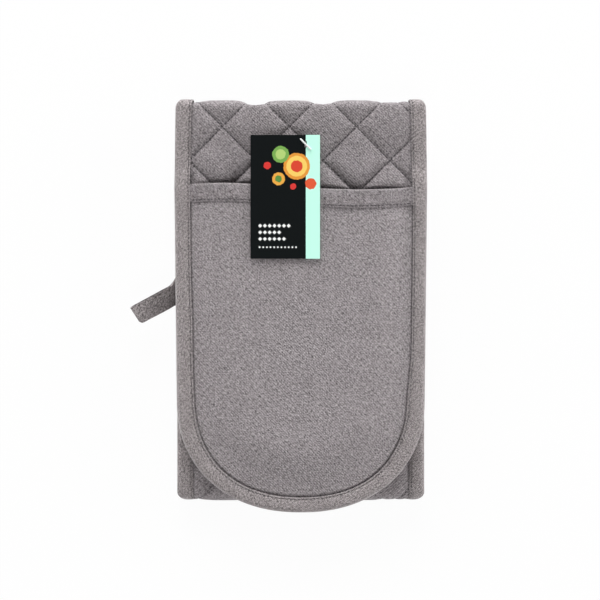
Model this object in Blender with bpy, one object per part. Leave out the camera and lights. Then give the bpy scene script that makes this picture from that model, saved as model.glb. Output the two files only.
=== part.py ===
"""A double oven glove, lying on its back and folded in three like a letter Z.

It is one long quilted strip with a mitten pocket on each rounded end. The front flap lies on top with its pocket
up, the middle panel is under it, and the back flap is at the bottom with its pocket against the middle panel.
X runs across the strip, +Y points from the front flap's tip to the top fold, and +Z is up.

Every cloth piece is drawn flat first, as (across, along, off), where along is the way from the front tip down the
middle of the strip's thickness, and off is the distance from that middle, positive on the pocket side. The
function laid_out then puts each point on the folded strip.
"""

import math

import bmesh
import bpy
from mathutils import Vector
from mathutils.geometry import delaunay_2d_cdt

# The strip. The flaps grow with the folded length, and every width with the strip's
strip_width = 0.1800
top_fold_wider_by = 0.0008
mouth_wider_by = 0.0030
rounding_narrower_by = 0.0005
rounding_length = 0.082
rounding_exponent = 2.2
folded_length = 0.299
middle_short_by = 0.0065
back_flap_short_by = 0.0210

# The plies, and the gap that neighbouring pieces keep
cloth_ply = 0.0006
ply_gap = 0.0003
seam_wadding = 0.0012

# The diamond quilting: lines at 45 degrees, with a soft puff in each diamond
quilt_pitch = 0.0342
quilt_loft = 0.0020
quilt_slope = 0.009
quilt_crossing_across = -0.0082
quilt_crossing_to_fold = 0.0205
crease_loft_share = 0.5

# The binding round the edge
binding_ply = 0.0008
binding_leg = 0.0115
binding_to_puff = 0.0010
binding_fold_bulge = 0.0010
binding_climb = 0.0085

# The pockets
mouth_left_to_fold = 0.0620
mouth_right_to_fold = 0.0644
hem_depth = 0.0135
pocket_hollow = 0.0048
pocket_slope = 0.020
pocket_wadding = 0.0012
pocket_wadding_at_edge = 0.0004

# The hanging loop, a doubled tape on the middle panel's left edge
loop_width = 0.0135
loop_ply = 0.0010
loop_reach = 0.0375
loop_half_height = 0.0034
loop_root_radius = 0.00115
loop_neck = 0.010
loop_lean_degrees = 28.5
loop_from_middle = 0.0044
loop_ply_shift = 0.0016
loop_section_shares = (0.0, 0.12, 0.88, 1.0)
loop_reach_shares = (0.72, 0.78, 0.97, 1.0)

# The swing card and the plastic fastener that holds it
card_width = 0.0496
card_length = 0.0884
card_thickness = 0.0004
card_centre_across = -0.0111
card_top_to_fold = 0.0275
card_slot_length = 0.0050
card_slot_width = 0.0017
pin_across = 0.0035
pin_to_fold = 0.0342
pin_thread_radius = 0.0004
pin_bar_radius = 0.0006
pin_bar_length = 0.0112
pin_bar_lean_degrees = -45.0
pin_hole_radius = 0.0009

# How finely the curves are cut
rounding_steps = 20
top_fold_steps = 4
bottom_fold_steps = 6
loop_neck_steps = 4
loop_bight_steps = 4
loop_root_steps = 4
pin_sides = 10
hole_sides = 6

# What follows from the sizes above
weld = ply_gap / 10
width_at_top_fold = strip_width + top_fold_wider_by
width_at_mouth = strip_width + mouth_wider_by
width_at_rounding = strip_width - rounding_narrower_by
mouth_left = folded_length - mouth_left_to_fold
mouth_right = folded_length - mouth_right_to_fold
quilt_crossing_along = folded_length - quilt_crossing_to_fold
card_top_along = folded_length - card_top_to_fold
pin_along = folded_length - pin_to_fold
edge_inset = binding_ply + ply_gap
puff_inset = binding_leg + binding_to_puff
seam_half = seam_wadding / 2 + ply_gap + cloth_ply
crown_half = seam_half + quilt_loft
binding_half = seam_half + ply_gap + binding_ply

lining_low = (seam_half + ply_gap, crown_half + pocket_hollow)
lining_high = tuple(level + cloth_ply for level in lining_low)
filling_low = tuple(level + ply_gap for level in lining_high)
filling_high = (filling_low[0] + pocket_wadding_at_edge, filling_low[1] + pocket_wadding)
face_low = tuple(level + ply_gap for level in filling_high)
face_high = tuple(level + cloth_ply for level in face_low)
hem_high = tuple(level + ply_gap + cloth_ply for level in face_high)
binding_over_pocket = face_high[0] + ply_gap + binding_ply
binding_over_hem = hem_high[0] + ply_gap + binding_ply

top_radius = crown_half + ply_gap / 2
bottom_radius = (hem_high[1] + ply_gap + crown_half) / 2
top_reach = top_radius + binding_half + binding_fold_bulge
bottom_reach = bottom_radius + binding_half + binding_fold_bulge

front_end = folded_length - top_reach
middle_start = front_end + math.pi * top_radius
middle_end = middle_start + folded_length - middle_short_by - top_reach - bottom_reach
back_start = middle_end + math.pi * bottom_radius
strip_length = back_start + folded_length - back_flap_short_by

back_level = crown_half
bottom_centre_level = back_level + bottom_radius
middle_level = bottom_centre_level + bottom_radius
top_centre_level = middle_level + top_radius
front_level = top_centre_level + top_radius

tip_y = -folded_length / 2
top_y = tip_y + front_end
bottom_y = top_y - (middle_end - middle_start)

loop_lean = math.radians(loop_lean_degrees)
loop_pivot_across = -(strip_width / 2 + ply_gap + loop_root_radius)
loop_left = loop_pivot_across - loop_reach * math.cos(loop_lean)
shift_x = -(loop_left + width_at_mouth / 2) / 2
loop_pivot_y = top_y - (strip_length / 2 - loop_from_middle - middle_start)
card_level = hem_high[1] + ply_gap


def laid_out(across, along, off):
    """The folded place of a point given flat."""
    x = across + shift_x
    if along <= front_end:
        return Vector((x, tip_y + along, front_level + off))
    if along < middle_start:
        turn = (along - front_end) / top_radius
        reach = top_radius + off
        return Vector((x, top_y + reach * math.sin(turn), top_centre_level + reach * math.cos(turn)))
    if along <= middle_end:
        return Vector((x, top_y - (along - middle_start), middle_level - off))
    if along < back_start:
        turn = (along - middle_end) / bottom_radius
        reach = bottom_radius - off
        return Vector((x, bottom_y - reach * math.sin(turn), bottom_centre_level + reach * math.cos(turn)))
    return Vector((x, bottom_y + (along - back_start), back_level + off))


def from_front(tip_distance):
    return tip_distance


def from_back(tip_distance):
    return strip_length - tip_distance


def smooth(share):
    share = min(max(share, 0.0), 1.0)
    return share * share * (3 - 2 * share)


# The outline of a flap, from its fold down the left side, round the tip and up the right side


def mouth_at(across):
    """How far the pocket's mouth is from the tip, at this place across the flap."""
    share = 0.5 + across / width_at_mouth
    return mouth_left + (mouth_right - mouth_left) * share


def half_width(tip_distance, flap_end):
    """Half the flap's width on its straight sides, which are widest at the pocket's mouth."""
    mouth = (mouth_left + mouth_right) / 2
    if tip_distance > mouth:
        share = (tip_distance - mouth) / (flap_end - mouth)
        return (width_at_mouth + (width_at_top_fold - width_at_mouth) * share) / 2
    share = (tip_distance - rounding_length) / (mouth - rounding_length)
    return (width_at_rounding + (width_at_mouth - width_at_rounding) * share) / 2


def side_stations(side, distances, flap_end):
    """(point, inward direction) at these distances from the tip, on the side -1 or 1."""
    return [(Vector((side * half_width(far, flap_end), far)), Vector((-side, 0))) for far in distances]


def rounding_stations():
    """(point, inward direction) round the tip, on a superellipse."""
    half = width_at_rounding / 2
    stations = []
    for step in range(1, rounding_steps):
        angle = math.pi * (1 + step / rounding_steps)
        ways = (math.cos(angle), math.sin(angle))
        unit = [math.copysign(abs(way) ** (2 / rounding_exponent), way) for way in ways]
        slopes = [math.copysign(abs(share) ** (rounding_exponent - 1), share) for share in unit]
        point = Vector((half * unit[0], rounding_length * (1 + unit[1])))
        outward = Vector((slopes[0] / half, slopes[1] / rounding_length)).normalized()
        stations.append((point, -outward))
    return stations


def flap_stations(left_distances, right_distances, flap_end):
    left = side_stations(-1, left_distances + [rounding_length], flap_end)
    right = side_stations(1, [rounding_length] + right_distances, flap_end)
    return left + rounding_stations() + right


def drawn_in(stations, inset):
    return [point + inward * inset for point, inward in stations]


# Flat meshes: an outline filled with triangles that follow the lines drawn on it


def sides_of(ring):
    """(corner, inward direction) of each side of a ring that runs counter-clockwise."""
    pairs = zip(ring, ring[1:] + ring[:1])
    return [(start, Vector((start.y - end.y, end.x - start.x)).normalized()) for start, end in pairs]


def depth_in(sides, point):
    """The distance from the nearest of these sides, negative outside."""
    return min((point - corner).dot(inward) for corner, inward in sides)


def clipped(sides, start, end):
    """The part of a line inside a convex ring, or None."""
    first, last = 0.0, 1.0
    for corner, inward in sides:
        at_start = (start - corner).dot(inward)
        at_end = (end - corner).dot(inward)
        if at_start < 0 and at_end < 0:
            return None
        if at_start < 0:
            first = max(first, at_start / (at_start - at_end))
        elif at_end < 0:
            last = min(last, at_start / (at_start - at_end))
    if first >= last:
        return None
    return start.lerp(end, first), start.lerp(end, last)


def filled_outline(ring, lines, hole=None):
    """(points, triangles) of a convex ring, cut along the lines, with the hole left out."""
    points = []

    def placed(point):
        for index, other in enumerate(points):
            if (other - point).length < weld:
                return index
        points.append(point)
        return len(points) - 1

    sides = sides_of(ring)
    kept = chain(ring + ring[:1]) + (chain(hole + hole[:1]) if hole else [])
    kept.extend(filter(None, (clipped(sides, *line) for line in lines)))
    edges = [(placed(start), placed(end)) for start, end in kept]
    edges = [edge for edge in edges if edge[0] != edge[1]]
    found, _, faces, *_ = delaunay_2d_cdt(points, edges, [], 0, weld)
    hole_sides_in = sides_of(hole) if hole else []
    triangles = []
    for face in faces:
        middle = sum((found[index] for index in face), Vector((0, 0))) / len(face)
        # a triangle squashed flat on the rim has its middle there too, and is left out
        in_ring = depth_in(sides, middle) > weld / len(face)
        if in_ring and not (hole and depth_in(hole_sides_in, middle) > 0):
            triangles.append(face)
    return found, triangles


def chain(points):
    return list(zip(points, points[1:]))


# The quilting


def quilt_frame(crossing_along):
    """Two unit directions across the quilting lines, and the crossing where both lines pass."""
    diagonal = 1 / math.sqrt(2)
    return Vector((diagonal, diagonal)), Vector((diagonal, -diagonal)), Vector((quilt_crossing_across, crossing_along))


def quilt_cells(ring, crossing_along):
    """The corner of each diamond that may touch the ring."""
    one, two, crossing = quilt_frame(crossing_along)
    across = [(point - crossing).dot(one) / quilt_pitch for point in ring]
    down = [(point - crossing).dot(two) / quilt_pitch for point in ring]
    for column in range(math.floor(min(across)), math.ceil(max(across))):
        for row in range(math.floor(min(down)), math.ceil(max(down))):
            yield crossing + (one * column + two * row) * quilt_pitch


def quilt_lines(ring, crossing_along):
    """The stitched lines, and the square where each puff is flat on top, inside the ring."""
    one, two, _ = quilt_frame(crossing_along)
    sides = sides_of(ring)
    lines = []
    for corner in quilt_cells(ring, crossing_along):
        lines.append((corner, corner + one * quilt_pitch))
        lines.append((corner, corner + two * quilt_pitch))
        low, high = quilt_slope, quilt_pitch - quilt_slope
        square = [corner + one * a + two * b for a, b in ((low, low), (high, low), (high, high), (low, high))]
        lines.extend(chain(square + square[:1]))
    return [kept for kept in (clipped(sides, *line) for line in lines) if kept]


def quilt_rise(point, seam_sides, crossing_along):
    """How far a puff has risen here, from 0 on a stitched line or at the binding to 1."""
    one, two, crossing = quilt_frame(crossing_along)
    depths = [depth_in(seam_sides, point)]
    for way in (one, two):
        place = (point - crossing).dot(way) / quilt_pitch
        depths.append(abs(place - round(place)) * quilt_pitch)
    return min(max(min(depths) / quilt_slope, 0.0), 1.0)


# Solids


def material(name, colour, roughness):
    made = bpy.data.materials.new(name)
    made.use_nodes = True
    shader = made.node_tree.nodes["Principled BSDF"]
    shader.inputs["Base Color"].default_value = (*colour, 1.0)
    shader.inputs["Roughness"].default_value = roughness
    shader.inputs["Metallic"].default_value = 0.0
    return made


def node(name, mesh_or_bmesh, finish, parts):
    """An object in the part's collection, from a mesh or a bmesh, which is freed."""
    mesh = mesh_or_bmesh
    if isinstance(mesh_or_bmesh, bmesh.types.BMesh):
        bmesh.ops.recalc_face_normals(mesh_or_bmesh, faces=mesh_or_bmesh.faces[:])
        if mesh_or_bmesh.calc_volume(signed=True) < 0:
            bmesh.ops.reverse_faces(mesh_or_bmesh, faces=mesh_or_bmesh.faces[:])
        mesh = bpy.data.meshes.new(name)
        mesh_or_bmesh.to_mesh(mesh)
        mesh_or_bmesh.free()
    mesh.materials.clear()
    mesh.materials.append(finish)
    made = bpy.data.objects.new(name, mesh)
    parts.objects.link(made)
    return made


def closed_sheet(flat, low, high, along_of):
    """A sheet between two heights over a flat mesh, laid out on the strip."""
    points, triangles = flat
    bm = bmesh.new()
    used = sorted({index for triangle in triangles for index in triangle})

    def layer(height):
        return {
            index: bm.verts.new(laid_out(points[index].x, along_of(points[index].y), height(points[index])))
            for index in used
        }

    lower, upper = layer(low), layer(high)
    sides = [side for triangle in triangles for side in zip(triangle, triangle[1:] + triangle[:1])]
    inner = set(sides)
    for triangle in triangles:
        bm.faces.new([lower[index] for index in triangle])
        bm.faces.new([upper[index] for index in triangle])
    for start, end in sides:
        if (end, start) not in inner:
            bm.faces.new((lower[start], lower[end], upper[end], upper[start]))
    return bm


def lofted(rings):
    """A solid through rings of as many points each, capped at both ends."""
    bm = bmesh.new()
    rows = [[bm.verts.new(point) for point in ring] for ring in rings]
    for row, following in zip(rows, rows[1:]):
        for index in range(len(row)):
            after = (index + 1) % len(row)
            bm.faces.new((row[index], row[after], following[after], following[index]))
    bm.faces.new(rows[0])
    bm.faces.new(rows[-1])
    return bm


def channel_section(leg, low, high, ply):
    """(depth, height) points of a folded tape: a U lying on its side, with its outer corners cut off."""
    outer = [(leg, high), (ply, high), (0, high - ply), (0, low + ply), (ply, low), (leg, low)]
    inner = [(leg, low + ply), (ply, low + ply), (ply, high - ply), (leg, high - ply)]
    return outer + inner


# The quilted panels: two cloth plies with wadding between them


def quilt_panel(name, ring, seams, seam_ring, crossing_along, along_of, bends, hole, ease, parts, finishes):
    """The shell, wadding and lining of one stretch of the strip."""
    seam_lines = [line for seam in seams for line in chain(seam)]
    seam_sides = [side for seam in seams for side in sides_of(seam)[:-1]]
    cloth = filled_outline(ring, seam_lines + quilt_lines(seam_ring, crossing_along) + bends, hole)
    felt = filled_outline(ring, bends, hole)

    def half(point):
        return seam_half + quilt_loft * quilt_rise(point, seam_sides, crossing_along) * ease(point.y)

    def felt_half(_):
        return seam_wadding / 2

    shell = closed_sheet(cloth, lambda point: -half(point), lambda point: cloth_ply - half(point), along_of)
    node(name + "_shell", shell, finishes["cloth"], parts)
    wadding = closed_sheet(felt, lambda point: -felt_half(point), felt_half, along_of)
    node(name + "_wadding", wadding, finishes["wadding"], parts)
    lining = closed_sheet(cloth, lambda point: half(point) - cloth_ply, half, along_of)
    node(name + "_lining", lining, finishes["cloth"], parts)


def no_ease(_):
    return 1.0


def flap_panel(name, flap_end, along_of, hole, parts, finishes):
    stations = flap_stations([flap_end, mouth_at(0)], [mouth_at(0), flap_end], flap_end)
    ring = drawn_in(stations, edge_inset)
    seam = drawn_in(stations, puff_inset)
    crossing_along = along_of(quilt_crossing_along)
    quilt_panel(name, ring, [seam], seam, crossing_along, along_of, [], hole, no_ease, parts, finishes)


def band_panel(name, start, end, steps, ease, parts, finishes):
    """A stretch with straight sides: the middle panel or a fold."""
    half = strip_width / 2

    def corners(inset):
        left, right = inset - half, half - inset
        return [Vector((right, start)), Vector((right, end)), Vector((left, end)), Vector((left, start))]

    ring = corners(edge_inset)
    seam_ring = corners(puff_inset)
    seams = [seam_ring[:2], seam_ring[2:]]
    bends = []
    for step in range(1, steps):
        level = start + (end - start) * step / steps
        bends.append((Vector((-half, level)), Vector((half, level))))
    args = (ring, seams, seam_ring, quilt_crossing_along, from_front, bends, None, ease, parts, finishes)
    quilt_panel(name, *args)


# The bindings


def edge_binding(stations, highs, lows, along_of):
    """The folded tape round an edge, through (point, inward direction) stations with a height on each face."""
    rings = []
    for (point, inward), high, low in zip(stations, highs, lows):
        section = channel_section(binding_leg, low, high, binding_ply)
        places = [(point + inward * depth, height) for depth, height in section]
        rings.append([laid_out(place.x, along_of(place.y), height) for place, height in places])
    return lofted(rings)


def flap_binding(name, flap_end, along_of, parts, finishes):
    """It runs down one side, round the tip and up the other, and climbs over the pocket and its hem."""
    ends = {}
    for side in (-1, 1):
        mouth = mouth_at(side * width_at_mouth / 2)
        over_hem = (mouth + binding_ply, mouth - hem_depth - binding_ply)
        ends[side] = [flap_end, over_hem[0] + binding_climb, *over_hem, over_hem[1] - binding_climb]
    stations = flap_stations(ends[-1], ends[1][::-1], flap_end)
    climb = [binding_half, binding_half, binding_over_hem, binding_over_hem, binding_over_pocket]
    round_tip = [binding_over_pocket] * (len(stations) - 2 * len(climb))
    highs = climb + round_tip + climb[::-1]
    bm = edge_binding(stations, highs, [-binding_half] * len(stations), along_of)
    node(name + "_binding", bm, finishes["binding"], parts)


def band_bindings(name, start, end, steps, high_bulge, low_bulge, parts, finishes):
    for side, side_name in ((-1, "left"), (1, "right")):
        shares = [step / steps for step in range(steps + 1)]
        stations = [(Vector((side * strip_width / 2, start + (end - start) * share)), Vector((-side, 0))) for share in shares]
        highs = [binding_half + high_bulge * math.sin(math.pi * share) for share in shares]
        lows = [-binding_half - low_bulge * math.sin(math.pi * share) for share in shares]
        bm = edge_binding(stations, highs, lows, from_front)
        node(f"{name}_binding_{side_name}", bm, finishes["binding"], parts)


# The pockets: a padded panel that rises from the binding and is open at its hemmed mouth


def pocket_outline(flap_end, short_of_mouth):
    """(ring, sides that slope, lines round the slope) of a pocket ply."""
    far = [mouth_at(side * width_at_mouth / 2) - short_of_mouth for side in (-1, 1)]
    stations = flap_stations([far[0]], [far[1]], flap_end)
    ring = drawn_in(stations, edge_inset)
    lines = []
    for share in (0.0, 0.5, 1.0):
        turn = drawn_in(stations, puff_inset + pocket_slope * share)
        beyond = Vector((0, pocket_slope))
        lines.extend(chain([turn[0] + beyond] + turn + [turn[-1] + beyond]))
    foot = drawn_in(stations, puff_inset)
    return ring, sides_of(foot)[:-1], lines


def pocket_rise(point, foot_sides):
    return smooth(depth_in(foot_sides, point) / pocket_slope)


def pocket_ply(name, levels, short_of_mouth, flap_end, along_of, finish, parts):
    ring, foot_sides, lines = pocket_outline(flap_end, short_of_mouth)
    flat = filled_outline(ring, lines)

    def height(pair):
        return lambda point: pair[0] + (pair[1] - pair[0]) * pocket_rise(point, foot_sides)

    low, high = levels
    node(name, closed_sheet(flat, height(low), height(high), along_of), finish, parts)


def pocket_hem(name, flap_end, along_of, finish, parts):
    """The folded edge of the mouth, from binding to binding."""
    _, foot_sides, _ = pocket_outline(flap_end, 0)
    half = half_width(mouth_at(0), flap_end)
    insets = [edge_inset, puff_inset, puff_inset + pocket_slope / 2, puff_inset + pocket_slope]
    places = [inset - half for inset in insets] + [half - inset for inset in insets[::-1]]
    rings = []
    for across in places:
        mouth = mouth_at(across)
        rise = pocket_rise(Vector((across, mouth - hem_depth)), foot_sides)
        low = lining_low[0] + (lining_low[1] - lining_low[0]) * rise
        high = hem_high[0] + (hem_high[1] - hem_high[0]) * rise
        section = channel_section(hem_depth, low, high, cloth_ply)
        rings.append([laid_out(across, along_of(mouth - depth), height) for depth, height in section])
    node(name, lofted(rings), finish, parts)


def pocket(name, flap_end, along_of, parts, finishes):
    hem_fold = cloth_ply + ply_gap
    plies = (
        ("_lining", (lining_low, lining_high), hem_depth + ply_gap, "cloth"),
        ("_wadding", (filling_low, filling_high), hem_fold, "wadding"),
        ("_face", (face_low, face_high), hem_fold, "cloth"),
    )
    for ending, levels, short_of_mouth, finish in plies:
        pocket_ply(name + ending, levels, short_of_mouth, flap_end, along_of, finishes[finish], parts)
    pocket_hem(name + "_hem", flap_end, along_of, finishes["cloth"], parts)


# The hanging loop


def loop_outline():
    """(outer point, inner point) round the loop seen from the side, as (reach, height), from its root over the top."""
    belly = loop_half_height
    inner_belly = belly - loop_ply
    far = loop_reach - belly
    upper = []
    for step in range(loop_neck_steps + 1):
        share = step / loop_neck_steps
        height = loop_root_radius + (belly - loop_root_radius) * smooth(share)
        upper.append(((loop_neck * share, height), (loop_neck * share, height - loop_ply)))
    for step in range(loop_bight_steps):
        angle = math.pi / 2 * step / loop_bight_steps
        way = (math.sin(angle), math.cos(angle))
        outer = (far + belly * way[0], belly * way[1])
        inner = (far + inner_belly * way[0], inner_belly * way[1])
        upper.append((outer, inner))
    tip = ((loop_reach, 0), (loop_reach - loop_ply, 0))
    lower = [tuple((reach, -height) for reach, height in pair) for pair in reversed(upper)]
    root = []
    for step in range(1, loop_root_steps):
        angle = math.pi * (0.5 + step / loop_root_steps)
        way = (math.cos(angle), -math.sin(angle))
        inner_radius = loop_root_radius - loop_ply
        root.append(
            ((loop_root_radius * way[0], loop_root_radius * way[1]), (inner_radius * way[0], inner_radius * way[1]))
        )
    return upper + [tip] + lower + root[::-1]


def hanging_loop(parts, finishes):
    """The doubled tape. Its root lies along the panel's edge and its length leans down, the lower ply a little behind."""
    bm = bmesh.new()
    along_edge = loop_width / math.cos(loop_lean)
    sections = []
    for share, reach_share in zip(loop_section_shares, loop_reach_shares):
        section = []
        for pair in loop_outline():
            verts = []
            for reach, height in pair:
                stretched = reach * reach_share if reach > 0 else reach
                x = loop_pivot_across + shift_x - stretched * math.cos(loop_lean)
                y = loop_pivot_y + along_edge * (share - 0.5) - max(stretched, 0) * math.sin(loop_lean)
                y += loop_ply_shift * (1 - height / loop_half_height) / 2
                verts.append(bm.verts.new((x, y, middle_level + height)))
            section.append(verts)
        sections.append(section)
    count = len(sections[0])
    for place in range(count):
        after = (place + 1) % count
        for one, two in zip(sections, sections[1:]):
            bm.faces.new((one[place][0], one[after][0], two[after][0], two[place][0]))
            bm.faces.new((one[after][1], one[place][1], two[place][1], two[after][1]))
        for edge in (sections[0], sections[-1]):
            bm.faces.new((edge[place][0], edge[place][1], edge[after][1], edge[after][0]))
    return node("hanging_loop", bm, finishes["binding"], parts)


# The swing card and its fastener


def swing_card(parts, finishes):
    """A flat card with a slot for the fastener's thread."""
    curve = bpy.data.curves.new("swing_card", "CURVE")
    curve.dimensions = "2D"
    curve.fill_mode = "BOTH"
    curve.extrude = card_thickness / 2
    left = card_centre_across - card_width / 2 - pin_across
    top = card_top_along - pin_along
    right, bottom = left + card_width, top - card_length
    sheet = [(left, bottom), (right, bottom), (right, top), (left, top)]
    round_radius = card_slot_width / 2
    straight = card_slot_length / 2 - round_radius
    slot = []
    for step in range(2 * hole_sides):
        angle = math.pi * (step + 0.5) / hole_sides
        middle = straight if step < hole_sides else -straight
        slot.append((round_radius * math.cos(angle), middle + round_radius * math.sin(angle)))
    for outline in (sheet, slot):
        spline = curve.splines.new("POLY")
        spline.points.add(len(outline) - 1)
        for point, (across, along) in zip(spline.points, outline):
            point.co = (across, along, 0, 1)
        spline.use_cyclic_u = True
    curve.materials.append(finishes["card"])
    made = bpy.data.objects.new("swing_card", curve)
    made.location = laid_out(pin_across, pin_along, card_level + card_thickness / 2)
    parts.objects.link(made)
    return made


def rod(start, end, radius):
    """A thin round rod between two points, as a bmesh."""
    bm = bmesh.new()
    turn = (end - start).to_track_quat("Z", "Y").to_matrix().to_4x4()
    turn.translation = (start + end) / 2
    sizes = {"radius1": radius, "radius2": radius, "depth": (end - start).length}
    bmesh.ops.create_cone(bm, cap_ends=True, segments=pin_sides, matrix=turn, **sizes)
    return bm


def quilt_half_at_pin():
    """Half the quilt's thickness where the fastener's back bar lies."""
    stations = flap_stations([front_end], [front_end], front_end)
    seam_sides = sides_of(drawn_in(stations, puff_inset))[:-1]
    beside = Vector((1, 1)).normalized() * pin_bar_radius
    places = [Vector((pin_across, pin_along)) + beside * way for way in (-1, 1)]
    return seam_half + quilt_loft * max(quilt_rise(place, seam_sides, quilt_crossing_along) for place in places)


def card_fastener(parts, cutters, finishes):
    """A plastic thread through card and quilt, with a bar across each end."""
    back = laid_out(pin_across, pin_along, -(quilt_half_at_pin() + ply_gap + pin_bar_radius))
    front = laid_out(pin_across, pin_along, card_level + card_thickness + ply_gap + pin_bar_radius)
    lean = math.radians(pin_bar_lean_degrees)
    half_bar = Vector((math.cos(lean), math.sin(lean), 0)) * pin_bar_length / 2
    thread = node("card_fastener", rod(back, front, pin_thread_radius), finishes["plastic"], parts)
    for end_name, middle in (("back", back), ("front", front)):
        bar_mesh = rod(middle - half_bar, middle + half_bar, pin_bar_radius)
        bar = node(f"fastener_{end_name}_bar", bar_mesh, finishes["plastic"], cutters)
        bar.hide_render = True
        bar.display_type = "WIRE"
        union = thread.modifiers.new(f"{end_name} bar", "BOOLEAN")
        union.operation = "UNION"
        union.object = bar
    return thread


def pin_hole():
    """The outline of the hole through the quilt's plies."""
    angles = [2 * math.pi * step / hole_sides for step in range(hole_sides)]
    middle = Vector((pin_across, pin_along))
    return [middle + Vector((math.cos(angle), math.sin(angle))) * pin_hole_radius for angle in angles]


# The whole glove


def hung_on(pivot_name, place, parent, names, parts):
    """An empty on a joint's axis, with the pieces that turn about it as its children, left where they are."""
    pivot = bpy.data.objects.new(pivot_name, None)
    parts.objects.link(pivot)
    pivot.empty_display_size = hem_depth
    pivot.location = place
    if parent:
        pivot.parent = parent
        pivot.location = place - Vector(parent["place"])
    pivot["place"] = tuple(place)
    for name in names:
        piece = bpy.data.objects[name]
        piece.parent = pivot
        piece.location = piece.location - place
    return pivot


def fold_hinges(y, level, radius, way):
    """The places of a fold's two hinges, nearer the middle panel first: each takes a quarter turn."""
    reach = math.pi / 4 * radius
    near = Vector((shift_x, y + way * reach, level + way * -reach))
    far = Vector((shift_x, y + way * reach, level + way * reach))
    return near, far


def named(prefix):
    return [made.name for made in bpy.data.objects if made.name.startswith(prefix)]


def collection(name):
    made = bpy.data.collections.new(name)
    bpy.context.scene.collection.children.link(made)
    return made


def double_oven_glove():
    for made in list(bpy.data.objects):
        bpy.data.objects.remove(made, do_unlink=True)
    parts = collection("double_oven_glove")
    cutters = collection("cutters")
    finishes = {
        "cloth": material("grey_twill", (0.27, 0.25, 0.26), 0.95),
        "binding": material("grey_binding_tape", (0.29, 0.27, 0.28), 0.9),
        "wadding": material("white_wadding", (0.85, 0.84, 0.80), 1.0),
        "card": material("black_card", (0.012, 0.014, 0.016), 0.35),
        "plastic": material("white_plastic", (0.9, 0.9, 0.88), 0.4),
    }
    trim = ply_gap / 2
    front_flap_end = front_end - trim
    back_flap_end = strip_length - back_start - trim

    def top_ease(along):
        share = (along - front_end) / (middle_start - front_end)
        return 1 - (1 - crease_loft_share) * math.sin(math.pi * share)

    flap_panel("front", front_flap_end, from_front, pin_hole(), parts, finishes)
    flap_binding("front", front_flap_end, from_front, parts, finishes)
    pocket("front_pocket", front_flap_end, from_front, parts, finishes)

    top = (front_end + trim, middle_start - trim, top_fold_steps)
    band_panel("top_fold", *top, top_ease, parts, finishes)
    band_bindings("top_fold", *top, binding_fold_bulge, 0, parts, finishes)

    middle = (middle_start + trim, middle_end - trim, 1)
    band_panel("middle", *middle, no_ease, parts, finishes)
    band_bindings("middle", *middle, 0, 0, parts, finishes)

    bottom = (middle_end + trim, back_start - trim, bottom_fold_steps)
    band_panel("bottom_fold", *bottom, no_ease, parts, finishes)
    band_bindings("bottom_fold", *bottom, 0, binding_fold_bulge, parts, finishes)

    flap_panel("back", back_flap_end, from_back, None, parts, finishes)
    flap_binding("back", back_flap_end, from_back, parts, finishes)
    pocket("back_pocket", back_flap_end, from_back, parts, finishes)

    hanging_loop(parts, finishes)
    swing_card(parts, finishes)
    card_fastener(parts, cutters, finishes)

    near, far = fold_hinges(top_y, top_centre_level, top_radius, 1)
    top_pivot = hung_on("top_fold_pivot", near, None, named("top_fold_"), parts)
    front_pivot = hung_on("front_flap_pivot", far, top_pivot, named("front_") + ["card_fastener"], parts)
    hung_on("card_pivot", bpy.data.objects["swing_card"].location.copy(), front_pivot, ["swing_card"], parts)
    near, far = fold_hinges(bottom_y, bottom_centre_level, bottom_radius, -1)
    bottom_pivot = hung_on("bottom_fold_pivot", near, None, named("bottom_fold_"), parts)
    hung_on("back_flap_pivot", far, bottom_pivot, named("back_"), parts)
    root = laid_out(loop_pivot_across, middle_start + top_y - loop_pivot_y, 0)
    hung_on("hanging_loop_pivot", root, None, ["hanging_loop"], parts)


double_oven_glove()
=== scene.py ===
import math

import bpy
import numpy as np
from mathutils import Matrix, Vector
from mathutils.geometry import delaunay_2d_cdt


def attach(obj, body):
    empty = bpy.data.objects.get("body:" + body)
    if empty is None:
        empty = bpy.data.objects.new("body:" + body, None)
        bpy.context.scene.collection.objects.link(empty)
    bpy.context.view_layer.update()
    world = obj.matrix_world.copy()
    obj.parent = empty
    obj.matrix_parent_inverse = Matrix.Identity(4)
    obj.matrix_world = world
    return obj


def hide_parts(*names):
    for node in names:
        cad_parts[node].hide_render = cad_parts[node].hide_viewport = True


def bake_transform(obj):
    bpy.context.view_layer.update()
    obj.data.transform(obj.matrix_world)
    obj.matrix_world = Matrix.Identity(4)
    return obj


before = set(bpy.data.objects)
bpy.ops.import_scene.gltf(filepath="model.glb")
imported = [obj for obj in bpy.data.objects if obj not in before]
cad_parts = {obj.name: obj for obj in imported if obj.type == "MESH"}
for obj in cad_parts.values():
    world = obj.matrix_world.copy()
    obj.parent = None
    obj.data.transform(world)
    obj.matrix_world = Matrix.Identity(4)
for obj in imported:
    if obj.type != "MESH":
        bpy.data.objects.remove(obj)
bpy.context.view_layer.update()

# The glove's body is one long quilted strip with a rounded end at each tip: two faces of grey cotton twill
# with wadding between them, sewn through in diamonds so that each diamond swells. It lies folded in three
# like a letter Z: the front flap on top, the middle panel under it, and the back flap against the table.
strip_length, shift_x, tip_y = 0.88, 0.0164528, -0.1495
front_end, middle_start, middle_end, back_start = 0.29175, 0.3032168, 0.5768668, 0.6019996
top_apex, bottom_apex = (front_end + middle_start) / 2, (middle_end + back_start) / 2
middle_half_way = (middle_start + middle_end) / 2
back_level, middle_level, front_level = 0.0035, 0.0195, 0.0268
top_radius, top_y, top_centre_level = 0.00365, 0.14225, 0.02315
bottom_radius, bottom_y, bottom_centre_level = 0.0080, -0.1314, 0.0115
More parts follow.
